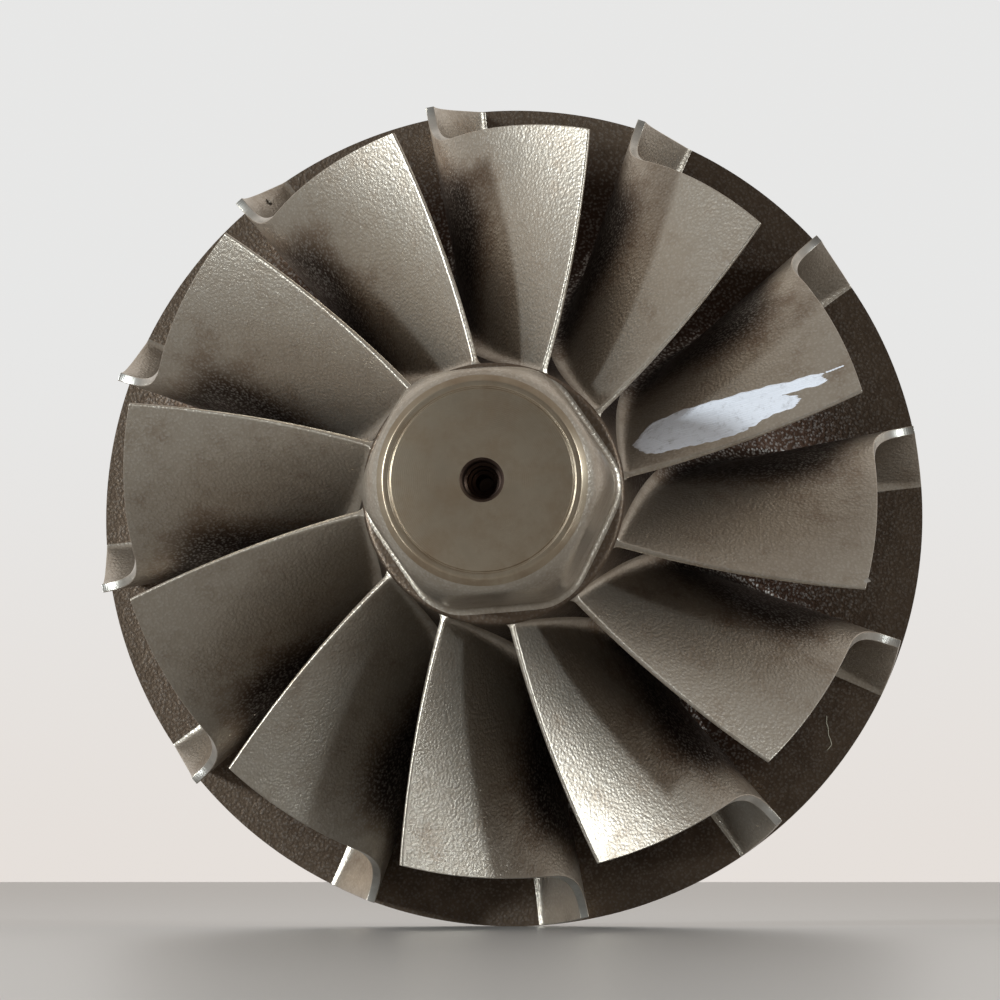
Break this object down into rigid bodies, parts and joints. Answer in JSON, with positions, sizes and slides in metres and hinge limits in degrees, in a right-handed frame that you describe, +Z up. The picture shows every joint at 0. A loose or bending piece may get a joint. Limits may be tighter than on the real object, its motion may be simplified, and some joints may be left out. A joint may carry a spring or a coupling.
{
  "type": "turbocharger turbine wheel on its shaft",
  "caption": "Cast radial turbine wheel of a turbocharger with curved blades, a full back plate and a hexagon nose, welded to its turned steel shaft.",
  "frame": {"origin": "on the spin axis, in the plane of the rim's front face, where the blades' leading edges meet the back plate", "axes": "spin axis along Y with the nose towards -Y and the shaft towards +Y, +X to the right seen from the nose, +Z up"},
  "size_m": [0.086, 0.185, 0.086],
  "materials": {
    "cast_superalloy": "investment-cast nickel alloy, fine pebbled skin with brown oxide, machined on the blades' outer edges and the nose face",
    "ground_steel": "turned and ground steel"
  },
  "bodies": {
    "root": {"wheel_casting": "cast_superalloy", "rotor_shaft": "ground_steel"}
  },
  "joints": []
}
